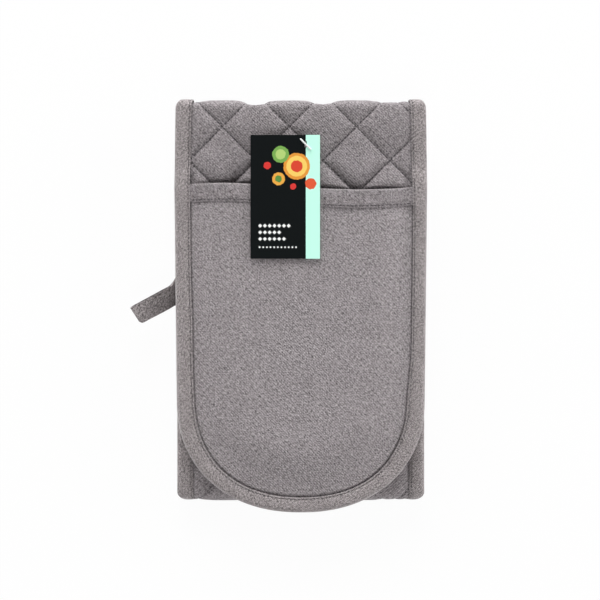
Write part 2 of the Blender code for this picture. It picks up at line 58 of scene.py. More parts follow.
# where two quilting lines cross on the top fold, the stitches hold the cloth back: (across, depth, reach)
crossing_dents = ((-0.0326, 0.0043, 0.0062), (0.0158, 0.0029, 0.0058), (0.0643, 0.0010, 0.0060))
# the top fold is not pressed flat, so the front flap's cloth stands up in a low crest just before it
crest_lift, crest_place, crest_reach = 0.0028, front_end - 0.006, 0.026


def eased(share):
    share = np.clip(share, 0, 1)
    return share * share * (3 - 2 * share)


def bell(distance, reach):
    return np.exp(-((distance / reach) ** 2))


def from_tip(along):
    """The distance along from the nearer tip."""
    return np.minimum(along, strip_length - along)


def turns(along):
    """How far round the top fold and the bottom fold these places are, in radians."""
    top = np.clip((along - front_end) / top_radius, 0, np.pi)
    bottom = np.clip((along - middle_end) / bottom_radius, 0, np.pi)
    return top, bottom


def folded(across, along, off):
    """Puts flat cloth in its place. off is the height off the strip's middle, positive on the pocket side."""
    across, along, off = (np.asarray(part, float) for part in np.broadcast_arrays(across, along, off))
    top, bottom = turns(along)
    dent = sum(depth * bell(across - place, reach) for place, depth, reach in crossing_dents)
    over_top = (along > front_end) & (along < middle_start)
    over_bottom = (along > middle_end) & (along < back_start)
    stretches = (along <= front_end, over_top, along <= middle_end, over_bottom)
    y = np.select(
        stretches,
        (
            tip_y + along,
            top_y + (top_radius + off - dent * np.sin(top)) * np.sin(top),
            top_y - (along - middle_start),
            bottom_y - (bottom_radius - off) * np.sin(bottom),
        ),
        bottom_y + along - back_start,
    )
    crest = crest_lift * bell(np.minimum(along, front_end) - crest_place, crest_reach)
    z = np.select(
        stretches,
        (
            front_level + off + crest,
            top_centre_level + (top_radius + off) * np.cos(top) + crest * np.clip(np.cos(top), 0, 1),
            middle_level - off,
            bottom_centre_level + (bottom_radius - off) * np.cos(bottom),
        ),
        back_level + off,
    )
    return np.stack((across + shift_x, y, z), axis=-1)


# half the strip's width at four distances from a tip, and how far each fold pulls its corners in
width_places, half_widths = (0.082, 0.2358, front_end, 0.3035), (0.08975, 0.0915, 0.0904, 0.0900)
top_tuck, bottom_tuck = 0.0012, 0.0032
rounding_length, rounding_exponent, rounding_steps, cut_steps = width_places[0], 2.2, 150, 147
# the edge tape's width against its usual one, which wavers because it was sewn on by eye: (from the tip,
# share) on the left and on the right, and the width of cloth over which the one changes to the other
left_waver = (0, 0.02, 0.045, 0.075, 0.10, 0.14, 0.17), (0.97, 1.05, 1.14, 1.14, 1.06, 1.05, 1.0)
right_waver = (0, 0.02, 0.045, 0.08, 0.115, 0.21, 0.235), (0.97, 1.03, 1.13, 1.13, 0.88, 0.88, 0.95)
waver_change = 0.06


def half_width(along):
    top, bottom = turns(along)
    wide = np.interp(from_tip(along), width_places, half_widths)
    return wide - top_tuck * np.sin(top) ** 4 - bottom_tuck * np.sin(bottom) ** 8


def rounding_slope(wide, down):
    """The slope of the rounded tip's distance, at shares of its half width and of its length."""
    power = rounding_exponent - 1
    return wide**power / half_width(rounding_length), down**power / rounding_length


def depth_in(across, along):
    """The distance in from the strip's long edges and rounded tips."""
    to_tip = from_tip(along)
    wide = np.abs(across) / half_width(rounding_length)
    down = np.clip(rounding_length - to_tip, 0, None) / rounding_length
    reach = np.maximum((wide**rounding_exponent + down**rounding_exponent) ** (1 / rounding_exponent), 1e-9)
    slope = np.hypot(*rounding_slope(wide / reach, down / reach))
    in_tip = (1 - reach) / np.maximum(slope, 1e-9)
    return np.where(to_tip < rounding_length, in_tip, half_width(along) - np.abs(across))


def tape_share(across, along):
    left, right = (np.interp(from_tip(along), *waver) for waver in (left_waver, right_waver))
    return left + (right - left) * eased(across / waver_change + 0.5)


def under_tape(across, along):
    """The distance in from the edges, counted in widths of tape."""
    return depth_in(across, along) / tape_share(across, along)


# a random height is the sum of this many crossing waves, of lengths between these shares of the one asked for
wave_count, wave_lengths, wave_peak = 14, (0.75, 1.4), 5.0


def random_cloth(across, along, wavelength, seed):
    """A smooth random height from about -1 to 1, made of crossing waves."""
    draw = np.random.RandomState(seed)
    total = 0
    for _ in range(wave_count):
        heading, start = draw.uniform(0, 2 * np.pi, 2)
        wave = 2 * np.pi / (wavelength * draw.uniform(*wave_lengths))
        total = total + np.sin(wave * (across * np.cos(heading) + along * np.sin(heading)) + start)
    return total / wave_peak


# the quilting lines' pitch, one place where two cross, and how a diamond swells from its seams to its crown
quilt_pitch, quilt_crossing = 0.0342, (-0.0082, 0.2785)
seam_half, crown_half, thinnest, thickest = 0.0015, 0.0035, 0.0004, 0.0036
puff_shoulder, tape_shoulder, puff_roundness = 0.0105, 0.010, 2.4
# a fold flattens its inner side and raises its outer side's seams, by shares for (top fold, bottom fold)
squeeze, top_squeeze, squeeze_shares = 0.55, 0.0004, {1: (0, 0.6), -1: (1, 0)}
fold_raise, raise_shares = 0.0010, {1: (0.3, 0), -1: (0, 1)}
# the creases along the seams and beside the tape, and the fine puckers and slow waver of the cloth between
crease_depth, crease_reach, crease_start = 0.0005, 0.00110, 0.001
tape_dip, tape_dip_place, tape_dip_reach, tape_leg, edge_inset = 0.0005, 0.0004, 0.0006, 0.0115, 0.0011
pucker_height, pucker_wave, pucker_fade, pucker_shoulder = 0.00020, 0.0062, 0.0050, 0.0025
drift_height, drift_wave, seam_share, ply_gap = 0.00012, 0.026, 0.3, 0.0001
# a pocket's mouth is not quite straight (across, from the tip), and the quilting bulges just above it
mouth_half = 0.085
mouth_curve = np.polyfit((-0.079, -0.036, 0.0137, 0.079), (0.2373, 0.2369, 0.2337, 0.2350), 3)
mouth_bulge, bulge_rise, bulge_top, bulge_fall, bulge_to_tape = 0.0024, 0.0028, 0.008, 0.022, 0.012


def mouth_at(across):
    """How far from the tip a pocket's mouth is."""
    return np.polyval(mouth_curve, np.clip(across, -mouth_half, mouth_half))


def line_distances(across, along):
    """The distance from the nearest quilting line of each slant."""
    found = []
    for sign in (1, -1):
        slanted = (across - quilt_crossing[0]) + sign * (along - quilt_crossing[1])
        place = slanted / math.sqrt(2) / quilt_pitch
        found.append(np.abs(place - np.round(place)) * quilt_pitch)
    return found


def swell(distance, shoulder=puff_shoulder):
    return 1 - (1 - np.clip(distance / shoulder, 0, 1)) ** puff_roundness


def quilt_half(across, along, side):
    """Half the quilt's thickness on the pocket side, 1, or the outer side, -1."""
    one, two = line_distances(across, along)
    nearest = np.minimum(one, two)
    from_tape = np.clip(under_tape(across, along) - tape_leg, 0, None)
    top, bottom = np.sin(turns(along))
    shares = squeeze_shares[side], raise_shares[side]
    inner, outer = (of_top * top + of_bottom * bottom for of_top, of_bottom in shares)
    loft = swell(one) * swell(two) * swell(from_tape, tape_shoulder) * (1 - squeeze * inner)
    pucker = random_cloth(across, along, pucker_wave, 11 + side) * np.exp(-nearest / pucker_fade)
    pucker = pucker * swell(nearest, pucker_shoulder) * (seam_share + loft)
    drift = random_cloth(across, along, drift_wave, 31 + side) * loft
    low = seam_half + fold_raise * outer
    height = low + (crown_half - low - top_squeeze * top) * loft
    height = height + pucker_height * pucker + drift_height * drift
    height = height - crease_depth * bell(nearest, crease_reach) * eased(from_tape / crease_start)
    height = height - tape_dip * bell(from_tape - tape_dip_place, tape_dip_reach)
    past = from_tip(along) - mouth_at(across)
    bulge = eased(past / bulge_rise) * (1 - eased((past - bulge_top) / bulge_fall)) * (side > 0)
    bulge = bulge * (seam_share + (1 - seam_share) * loft) * eased(from_tape / bulge_to_tape)
    return np.clip(height, thinnest, thickest) + mouth_bulge * bulge


# the mesh has rows along both slants of the quilting, closest at the stitches, rows along each pocket's
# mouth, and finer steps round each fold: (from, to, share of the usual step)
cloth_grid, coarse_grid, grid_margin, grid_half, grid_reach = quilt_pitch / 28, 6, 0.6, 0.095, 0.45
crease_offsets = (
    0, 0.00028, 0.0006, 0.001, 0.0017, 0.0026, 0.0038, 0.0053, 0.0071, 0.0092, 0.0116, 0.0143, 0.0171
)
mouth_rows, mouth_row_half = (-0.0006, 0, 0.0006, 0.0012, 0.0018, 0.0024), 0.0885
fold_bends = ((front_end, middle_start, 0.28), (middle_end, back_start, 0.45))


def graded(start, end, spacing):
    """Even steps along the strip, finer where it bends round a fold."""
    stops, shares = [start], []
    for low, high, share in fold_bends:
        stops += [min(max(low, start), end), min(max(high, start), end)]
        shares += [1, share]
    values = []
    for low, high, share in zip(stops, stops[1:] + [end], shares + [1]):
        count = max(math.ceil((high - low) / (spacing * share) - 1e-6), 0)
        values += [low + (high - low) * place / count for place in range(count)]
    return np.array(values + [end])


def tip_round(inset):
    """(across, to_tip) round a tip from left to right, at one distance in or at one for each point."""
    angle = np.pi * (1 + np.arange(1, rounding_steps) / rounding_steps)
    ways = np.stack((np.cos(angle), np.sin(angle)))
    unit = np.sign(ways) * np.abs(ways) ** (2 / rounding_exponent)
    half, length = half_width(rounding_length) - inset, rounding_length - inset
    return half * unit[0], rounding_length + length * unit[1]


def panel_outline(start, end):
    """The panel's outline, anticlockwise, between two places along the strip. A tip is rounded."""
    sides = graded(max(start, rounding_length), min(end, strip_length - rounding_length), cloth_grid)
    right = np.stack((half_width(sides) - edge_inset, sides), axis=1)
    tip = np.stack(tip_round(edge_inset), axis=1)

    def cut(along, way):
        row = (half_width(np.array(along)) - edge_inset) * np.linspace(-way, way, cut_steps)[1:-1]
        return np.stack((row, np.full(len(row), along)), axis=1)

    first = tip if start < rounding_length else cut(start, 1)
    last = tip * (-1, -1) + (0, strip_length) if end > strip_length - rounding_length else cut(end, -1)
    return np.concatenate((right, last, right[::-1] * (-1, 1), first))


def slanting(steps, centre):
    """(across, along) where two sets of slanting rows cross."""
    one, two = (part.ravel() for part in np.meshgrid(steps / math.sqrt(2), steps / math.sqrt(2)))
    return centre[0] + one + two, centre[1] + one - two


def even_steps(spacing, reach):
    return np.arange(-int(reach / spacing), int(reach / spacing) + 1) * spacing


def quilt_grid(start, end, spacing):
    """Points in rows along both quilting slants, closer together at the lines of stitches."""
    if spacing == cloth_grid:
        offsets = np.array(sorted({sign * offset for offset in crease_offsets for sign in (-1, 1)}))[:-1]
        steps = (even_steps(quilt_pitch, grid_reach)[:, None] + offsets).ravel()
    else:
        steps = even_steps(spacing, grid_reach)
    across, along = slanting(steps, quilt_crossing)
    margin = spacing * grid_margin
    kept = (np.abs(across) < grid_half) & (along > start + margin) & (along < end - margin)
    rows = []
    for low, high, share in fold_bends:
        kept &= (along < low - margin / 2) | (along > high + margin / 2)
        low, high = max(low, start), min(high, end)
        if low < high:
            bends = graded(low, high, spacing)
            bends = bends[(bends > start + margin * share) & (bends < end - margin * share)]
            wide = even_steps(spacing, grid_half)
            rows.append(np.stack([part.ravel() for part in np.meshgrid(wide, bends)], axis=1))
    rows.insert(0, np.stack((across[kept], along[kept]), axis=1))
    if spacing == cloth_grid:
        wide = even_steps(spacing, mouth_row_half)
        for past in mouth_rows:
            for row in (mouth_at(wide) + past, strip_length - mouth_at(wide) - past):
                rows.append(np.stack((wide, row), axis=1)[(row > start) & (row < end)])
    grid = np.concatenate(rows)
    return grid[depth_in(grid[:, 0], grid[:, 1]) > edge_inset + margin]


def filled(outline, inside):
    """(points, triangles) over a closed outline, through the points inside it."""
    count = len(outline)
    points = [Vector(point) for point in np.concatenate((outline, inside)).tolist()]
    edges = [(index, (index + 1) % count) for index in range(count)]
    found, _, faces, *_ = delaunay_2d_cdt(points, edges, [], 1, 1e-8)
    return np.array([tuple(point) for point in found]), np.array(faces)


def in_scene(name, data):
    made = bpy.data.objects.new(name, data)
    bpy.context.collection.objects.link(made)
    return made


sharp_angle = math.radians(65)


def mesh_piece(name, points, faces, weave, finish):
    """A piece whose weave attribute holds each point's flat place, so that the pattern follows the cloth."""
    mesh = bpy.data.meshes.new(name)
    mesh.from_pydata(np.asarray(points).tolist(), [], [list(face) for face in faces])
    mesh.attributes.new("weave", "FLOAT_VECTOR", "POINT").data.foreach_set("vector", np.ravel(weave))
    mesh.materials.append(finish)
    mesh.shade_smooth()
    mesh.set_sharp_from_angle(angle=sharp_angle)
    return in_scene(name, mesh)


# in the weave, each radian round the outside of a fold takes 3 mm more cloth than the middle does, and the
# two faces of the strip are 20 mm apart, so that their patterns differ
weave_round_fold, weave_apart = 0.003, 0.01


def closed_pad(name, outline, fine, coarse, outer, inner, side, finish):
    """A closed pad whose outer face has the fine mesh and whose hidden face has a coarse one."""
    face, face_triangles = filled(outline, fine)
    hidden, hidden_triangles = filled(outline, coarse)
    heights = np.concatenate((outer(face[:, 0], face[:, 1]), inner(hidden[:, 0], hidden[:, 1])))
    flat = np.concatenate((face, hidden))
    ring = np.arange(len(outline))
    after = np.roll(ring, -1)
    walls = np.stack((ring, ring + len(face), after + len(face), after), axis=1)
    faces = face_triangles.tolist() + (hidden_triangles[:, ::-1] + len(face)).tolist() + walls.tolist()
    if side < 0:
        faces = [face[::-1] for face in faces]
    round_fold = flat[:, 1] + weave_round_fold * turns(flat[:, 1])[0 if side > 0 else 1]
    weave = np.column_stack((flat[:, 0], round_fold, np.full(len(flat), weave_apart * side)))
    return mesh_piece(name, folded(flat[:, 0], flat[:, 1], heights), faces, weave, finish)


def shader_node(tree, kind, inputs=(), **settings):
    made = tree.nodes.new(kind)
    for key, value in settings.items():
        setattr(made, key, value)
    for place, value in dict(inputs).items():
        if isinstance(value, bpy.types.NodeSocket):
            tree.links.new(value, made.inputs[place])
        else:
            made.inputs[place].default_value = value
    return made


def maths(tree, operation, *values):
    return shader_node(tree, "ShaderNodeMath", dict(enumerate(values)), operation=operation).outputs[0]


def noise(tree, place, scale, detail=2.0):
    given = {"Vector": place, "Scale": scale, "Detail": detail}
    return shader_node(tree, "ShaderNodeTexNoise", given).outputs[0]


def scaled(tree, place, shares):
    return shader_node(tree, "ShaderNodeVectorMath", {0: place, 1: shares}, operation="MULTIPLY").outputs[0]


def in_mm(tree, attribute):
    """The place that a point's attribute holds, in millimetres."""
    place = shader_node(tree, "ShaderNodeAttribute", attribute_name=attribute).outputs["Vector"]
    return scaled(tree, place, (1000, 1000, 1000))


def linear(red, green, blue):
    """The linear colour of these screen values, from 0 to 255, with full cover."""
    return (*(((value / 255 + 0.055) / 1.055) ** 2.4 for value in (red, green, blue)), 1)


def two_shades(tree, amount, dark, light):
    ramp = shader_node(tree, "ShaderNodeValToRGB", {0: amount})
    for stop, shade in zip(ramp.color_ramp.elements, (dark, light)):
        stop.color = linear(*shade)
    return ramp.outputs[0]


def plain_shader(name, roughness, sheen=0.0, specular=0.3):
    made = bpy.data.materials.new(name)
    made.use_nodes = True
    shader = made.node_tree.nodes["Principled BSDF"]
    shader.inputs["Roughness"].default_value = roughness
    shader.inputs["Specular IOR Level"].default_value = specular
    shader.inputs["Sheen Weight"].default_value = sheen
    shader.inputs["Sheen Roughness"].default_value = 0.35
    return made, made.node_tree, shader


# in every twill, how far the ribs wander in millimetres, and their share of the tone and of the relief
rib_wander, rib_tone, rib_relief, relief_strength = 2.2, 0.30, 0.6, 0.6
wander_scale, blotch_scale = 0.35, 0.11


def woven(
    name, dark, light, rib=1.45, yarn=(0.75, 2.2), contrast=2.2, blotch=0.22, bump_depth=0.00030, sheen=0.40
):
    """A matt twill of light and dark yarns. Warp yarns show on one side of each fine slanting rib, which runs
    down from the upper left, and weft on the other. The rib's pitch and the yarns' width and length are in
    millimetres."""
    made, tree, shader = plain_shader(name, roughness=0.92, sheen=sheen, specular=0.12)
    mm = in_mm(tree, "weave")
    across, along, _ = shader_node(tree, "ShaderNodeSeparateXYZ", {0: mm}).outputs
    wander = maths(tree, "MULTIPLY", noise(tree, mm, wander_scale), rib_wander)
    slant = maths(tree, "ADD", maths(tree, "ADD", across, along), wander)
    wave = maths(tree, "SINE", maths(tree, "MULTIPLY", slant, 2 * math.pi / (rib * math.sqrt(2))))
    ribs = maths(tree, "MULTIPLY_ADD", wave, 0.5, 0.5)
    wide, long = 1 / yarn[0], 1 / yarn[1]
    yarns = []
    for stretch in ((wide, long, 1.0), (long, wide, 1.0)):
        yarns.append(noise(tree, scaled(tree, mm, stretch), scale=1.0, detail=1.0))
    mixed = shader_node(tree, "ShaderNodeMix", {0: ribs, 2: yarns[0], 3: yarns[1]}).outputs[0]
    tone = maths(tree, "MULTIPLY_ADD", maths(tree, "SUBTRACT", mixed, 0.5), contrast, 0.5)
    for detail, share in ((ribs, rib_tone), (noise(tree, mm, blotch_scale, detail=3.0), blotch)):
        tone = maths(tree, "ADD", tone, maths(tree, "MULTIPLY", maths(tree, "SUBTRACT", detail, 0.5), share))
    tree.links.new(two_shades(tree, tone, dark, light), shader.inputs["Base Color"])
    height = maths(tree, "ADD", maths(tree, "MULTIPLY", ribs, rib_relief), mixed)
    relief = {"Height": height, "Distance": bump_depth, "Strength": relief_strength}
    bump = shader_node(tree, "ShaderNodeBump", relief)
    tree.links.new(bump.outputs[0], shader.inputs["Normal"])
    return made


def bend_over(piece):
    """Bakes a piece's placement into its points."""
    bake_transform(piece)


# each panel is made as two padded halves, the lining towards the pocket and the shell away from it, so that
# each bends round a fold at its own radius
# the quilts' twill is the pocket's twill painted a little darker, as painted shade for the shade that falls
# among the seams and puffs
quilt_twill_with_painted_shade = woven("grey_quilt_painted_shade", (55, 51, 52), (180, 173, 175))
panels = {
    "front_quilt": (0.0, top_apex, "front_flap", "top_fold"),
    "middle_quilt_top": (top_apex, middle_half_way, "middle_panel", "top_fold"),
    "middle_quilt_bottom": (middle_half_way, bottom_apex, "middle_panel", "bottom_fold"),
    "back_quilt": (bottom_apex, strip_length, "back_flap", "bottom_fold"),
}
quilted = {
    "front_quilt_lining": ("front_lining", "front_wadding", "top_fold_lining", "top_fold_wadding"),
    "front_quilt_shell": ("front_shell", "top_fold_shell"),
    "middle_quilt_top_lining": ("middle_lining", "middle_wadding"),
    "middle_quilt_top_shell": ("middle_shell",),
    "middle_quilt_bottom_lining": ("bottom_fold_lining", "bottom_fold_wadding"),
    "middle_quilt_bottom_shell": ("bottom_fold_shell",),
    "back_quilt_lining": ("back_lining", "back_wadding"),
    "back_quilt_shell": ("back_shell",),
}
for panel, (start, end, body, fold) in panels.items():
    outline = panel_outline(start, end)
    fine, coarse = (quilt_grid(start, end, cloth_grid * size) for size in (1, coarse_grid))
    for side, ending in ((1, "lining"), (-1, "shell")):
        pad = closed_pad(
            f"{panel}_{ending}",
            outline,
            fine,
            coarse,
            lambda across, along: side * quilt_half(across, along, side),
            lambda across, along: np.full(len(across), side * ply_gap),
            side,
            quilt_twill_with_painted_shade,
        )
        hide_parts(*quilted[pad.name])
        bend_over(pad)

# Each pocket is a padded flap of the same twill over a rounded end, held in by the edge tape, and it stands a
# little open in the middle. Along its mouth a band of the twill is folded over the raw edge and sewn down
# with one row.
pocket_low, pocket_high, hem_high = (0.0018, 0.0082), (0.0040, 0.0108), (0.0049, 0.0117)
pocket_slope_start, pocket_slope, pocket_short, pocket_middle = 0.0120, 0.030, 0.0009, (0, 0.12)
pocket_slack, slack_wave, slack_sink, mouth_end, pinch, pinch_reach = 0.0003, 0.045, 0.6, 0.09, 0.0012, 0.003
# the tape's inner edge presses a groove into the pocket, and the mesh has close rings of points there
tuck_depth, tuck_place, tuck_flat, tuck_reach, ring_short = 0.0013, 0.0116, 0.0003, 0.0004, 0.0020
pocket_inset, pocket_coarse, side_steps, mouth_steps = edge_inset * 1.2, 2.5, 128, 150
tuck_rings = (0.0108, 0.0111, 0.0114, 0.0117, 0.0120, 0.0123, 0.0127, 0.0132)
hem_depth, hem_ply, hem_round, hem_clear, hem_turned = 0.0134, 0.0006, 0.0016, 0.0004, 0.0002
hem_seam, hem_groove, groove_reach, hem_crown = hem_depth - 0.0016, 0.00018, 0.0004, 0.0002
# the band's sewn edge (in from it, down from the top), and the rows of points over its top
hem_corner = ((0, hem_ply), (0.0001, 0.00025), (0.0004, 0.00005))
hem_rows = (
    *np.linspace(hem_depth - 0.0007, hem_seam - 0.001, 8),
    *np.linspace(hem_seam - 0.0014, hem_round, 7),
)
hem_steps, hem_weave_shift, hem_weave_rise = 150, 0.3, 3


def pocket_rise(across, along):
    return eased((under_tape(across, along) - pocket_slope_start) / pocket_slope)


def pocket_height(levels, across, along):
    """A height that rises from the first level by the tape to the second in the middle."""
    return levels[0] + (levels[1] - levels[0]) * pocket_rise(across, along)


def pocket_top(across, along):
    depth = under_tape(across, along)
    wander = random_cloth(across, along, slack_wave, 71) - slack_sink
    slack = pocket_slack * pocket_rise(across, along) * wander
    tuck = tuck_depth * bell(np.clip(np.abs(depth - tuck_place) - tuck_flat, 0, None), tuck_reach)
    pinched = pinch * (1 - eased((depth - edge_inset) / pinch_reach))
    return pocket_height(pocket_high, across, along) + slack - tuck - pinched


def pocket_under(across, along):
    by_hem = from_tip(along) > mouth_at(across) - hem_depth - hem_clear
    return pocket_height(pocket_low, across, along) + (hem_ply + ply_gap) * by_hem


def pocket_outline(short, inset):
    """(right side, row at the mouth, left side, tip) of the pocket's flat shape, this short of its mouth."""

    def long_side(way, start, end):
        along = np.linspace(start, end, side_steps)
        wide = half_width(along) - inset * tape_share(way * mouth_end, along)
        return np.stack((way * wide, along), axis=1)

    right = long_side(1, rounding_length, mouth_at(mouth_end) - short)
    left = long_side(-1, mouth_at(-mouth_end) - short, rounding_length)
    row = np.linspace(right[-1, 0], left[0, 0], mouth_steps)[1:-1]
    mouth = np.stack((row, mouth_at(row) - short), axis=1)
    return right, mouth, left, np.stack(tip_round(inset * tape_share(*tip_round(0))), axis=1)


def pocket_grid(spacing, rings=()):
    """Points inside the pocket's outline, with rings of them round its edge."""
    grid = np.stack(slanting(even_steps(spacing, grid_reach), pocket_middle), axis=1)
    depth = under_tape(grid[:, 0], grid[:, 1])
    margin = spacing * grid_margin
    kept = (np.abs(grid[:, 0]) < grid_half) & (grid[:, 1] > 0) & (depth > pocket_inset + margin)
    kept &= grid[:, 1] < mouth_at(grid[:, 0]) - pocket_short - margin
    if rings:
        kept &= (depth < rings[0] - spacing / 3) | (depth > rings[-1] + spacing / 3)
    parts = [grid[kept]]
    for ring in rings:
        right, _, left, tip = pocket_outline(ring_short, ring)
        parts += [right, left, tip]
    return np.concatenate(parts)


def for_back(flat):
    """The same places at the strip's other end, in the same turning sense."""
    return (flat * (1, -1) + (0, strip_length))[::-1]


def tube(name, sections, weaves, finish):
    """A closed strip of cloth through rings of points, capped at both ends."""
    sections, weaves = np.asarray(sections), np.asarray(weaves)
    rings, count = sections.shape[:2]
    base = np.arange(rings - 1)[:, None] * count
    one, two = np.arange(count), np.roll(np.arange(count), -1)
    walls = np.stack((base + one, base + two, base + two + count, base + one + count), axis=-1)
    faces = walls.reshape(-1, 4).tolist()
    faces += [list(range(count))[::-1], list(range((rings - 1) * count, rings * count))]
    return mesh_piece(name, sections.reshape(-1, 3), faces, weaves.reshape(-1, 3), finish)


def hem_section(across):
    """(distance in from the mouth, height) round the folded band, from its upper inner corner."""
    place = mouth_at(across) - hem_depth
    low, high = (float(pocket_height(levels, across, place)) for levels in (pocket_low, hem_high))
    middle = (low + high) / 2
    points = [(hem_depth - back, high - down) for back, down in hem_corner]
    for distance in hem_rows:
        groove = hem_groove * bell(distance - hem_seam, groove_reach)
        crown = hem_crown * math.sin(math.pi * distance / hem_seam) if distance < hem_seam else 0
        points.append((distance, high - groove + crown))
    for turn in np.linspace(0, math.pi, 12)[1:-1]:
        points.append((hem_round * (1 - math.sin(turn)), middle + (high - middle) * math.cos(turn)))
    inner = hem_round + hem_turned
    points += [(hem_round, low), (hem_depth, low), (hem_depth, low + hem_ply), (inner, low + hem_ply)]
    return np.array(points + [(hem_ply, middle), (inner, high - hem_ply)])


twill = woven("grey_twill", (63, 58, 59), (191, 184, 186))
# the hem's twill has a finer rib and is painted a little darker than the pocket's, as painted shade for how
# the light falls on the turned band
hem_twill_with_painted_shade = woven("grey_hem_painted_shade", (54, 50, 51), (178, 171, 173), rib=1.3, yarn=(0.7, 2.0), bump_depth=0.00028)
pocket_flat = np.concatenate(pocket_outline(pocket_short, edge_inset))
hem_half = half_width(mouth_at(0.0)) - edge_inset
for end, place in (("front", lambda flat: flat), ("back", for_back)):
    body = end + "_flap"
    pad = closed_pad(
        end + "_pocket",
        place(pocket_flat),
        place(pocket_grid(cloth_grid, tuck_rings)),
        place(pocket_grid(cloth_grid * pocket_coarse)),
        pocket_top,
        pocket_under,
        1,
        twill,
    )
    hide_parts(*(f"{end}_pocket_{ply}" for ply in ("face", "wadding", "lining")))
    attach(pad, body)
    sections, weaves = [], []
    for across in np.linspace(-hem_half, hem_half, hem_steps):
        section = hem_section(across)
        along = mouth_at(across) - section[:, 0]
        along = along if end == "front" else strip_length - along
        sections.append(folded(across, along, section[:, 1]))
        turned = np.full(len(along), across)
        weaves.append(np.column_stack((along + hem_weave_shift, turned, section[:, 1] * hem_weave_rise)))
    if end == "front":
        sections, weaves = sections[::-1], weaves[::-1]
    hem = tube(end + "_hem", sections, weaves, hem_twill_with_painted_shade)
    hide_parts(end + "_pocket_hem")
    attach(hem, body)

# A tape of finer twill is folded over the raw edges all the way round, and sewn through with one row of
# stitches near its inner edge. It is made in two halves, one on each face of the strip.
tape_ply, tape_round, tape_crown, seam_from_edge = 0.0008, 0.0032, 0.00042, 0.0102
seam_groove, seam_groove_reach, tape_pucker, tape_pucker_wave = 0.00030, 0.0007, 0.00009, 0.009
# its height over the strip, over a pocket and over a hem, and how it climbs from one to the next
tape_half, tape_over_pocket, tape_over_hem, tape_top_raise = 0.0026, 0.0051, 0.0060, 0.0010
tape_climb, hem_climb, tape_waver_reach, tape_step = 0.0180, 0.012, 0.006, 0.0012
# the rows of points over its top and along its inside, and how far they lie below its top near the inner edge
tape_rows = (*np.linspace(tape_round, 0.0096, 9)[1:], 0.0099, 0.0102, 0.0105, 0.0109, 0.0112, 0.01135)
tape_inside, puckers_from = (tape_leg, tape_leg, 0.006, tape_round, tape_ply), 0.0006
tape_drops = (0.00005, 0.00022, 0.0005, tape_ply, tape_ply, tape_ply, 0)


def tape_path(start, end, sign):
    """(across, along, inward across, inward along) along one long edge, or round a tip if it reaches one."""
    sides = graded(max(start, rounding_length), min(end, strip_length - rounding_length), tape_step)
    left = np.stack((-half_width(sides), sides, np.ones(len(sides)), np.zeros(len(sides))), axis=1)
    right = left * (-1, 1, -1, 1)
    if start >= rounding_length and end <= strip_length - rounding_length:
        return right if sign > 0 else left[::-1]
    across, to_tip = tip_round(0)
    down = (rounding_length - to_tip) / rounding_length
    slope_across, slope_down = rounding_slope(np.abs(across) / half_width(rounding_length), down)
    slope = np.stack((np.sign(across) * slope_across, -slope_down))
    tip = np.stack((across, to_tip, *(-slope / np.hypot(*slope))), axis=1)
    if start < rounding_length:
        return np.concatenate((left[::-1], tip, right))
    return np.concatenate((right, tip * (-1, -1, -1, -1) + (0, strip_length, 0, 0), left[::-1]))


def run_along(points):
    """How far along a row of points each one is."""
    return np.concatenate(([0], np.cumsum(np.linalg.norm(np.diff(points, axis=0), axis=1))))


def tape_height(across, along, side):
    if side < 0:
        return np.full(len(along), tape_half)
    past = from_tip(along) - mouth_at(across)
    by_hem = eased((past + hem_depth + hem_climb) / hem_climb)
    over = tape_over_pocket + (tape_over_hem - tape_over_pocket) * by_hem
    climbed = 1 - eased(past / tape_climb)
    return tape_half + tape_top_raise * np.sin(turns(along)[0]) + (over - tape_half) * climbed


def tape_sections(path, side):
    """The rings of points round one half of the tape, and how far round it each one is."""
    across, along, in_across, in_along = path.T
    turn = np.linspace(0, np.pi / 2, 9)
    depth = np.concatenate((tape_round * (1 - np.cos(turn)), tape_rows, tape_inside))
    share = np.concatenate((np.sin(turn), np.ones(len(depth) - len(turn) - 1), (0,)))
    drop = np.concatenate((np.zeros(len(depth) - len(tape_drops)), tape_drops))
    outside = np.arange(len(depth)) < len(depth) - len(tape_inside)
    crown = tape_crown * np.sin(np.pi * np.clip((depth - tape_ply) / (seam_from_edge - tape_ply), 0, 1))
    crown = (crown - seam_groove * bell(depth - seam_from_edge, seam_groove_reach)) * outside
    waver = (tape_share(across, along)[:, None] - 1) * np.clip(depth / tape_waver_reach, 0, 1)
    reach = depth * (1 + waver)
    place_across = across[:, None] + in_across[:, None] * reach
    place_along = along[:, None] + in_along[:, None] * reach
    wander = random_cloth(place_across, place_along, tape_pucker_wave, 51 + side) * tape_pucker
    wander = wander * (outside & (depth > puckers_from))
    off = side * (tape_height(across, along, side)[:, None] * share + crown * share - drop + wander)
    steps = np.hypot(np.diff(reach, axis=1), np.diff(off, axis=1))
    wrapped = np.concatenate((np.zeros((len(path), 1)), np.cumsum(steps, axis=1)), axis=1)
    return folded(place_across, place_along, off), wrapped


tape_weave = {"rib": 1.15, "yarn": (0.65, 1.5), "contrast": 2.6, "blotch": 0.26, "bump_depth": 0.00026}
tape_twill = woven("grey_tape", (44, 39, 40), (194, 186, 186), **tape_weave, sheen=0.50)
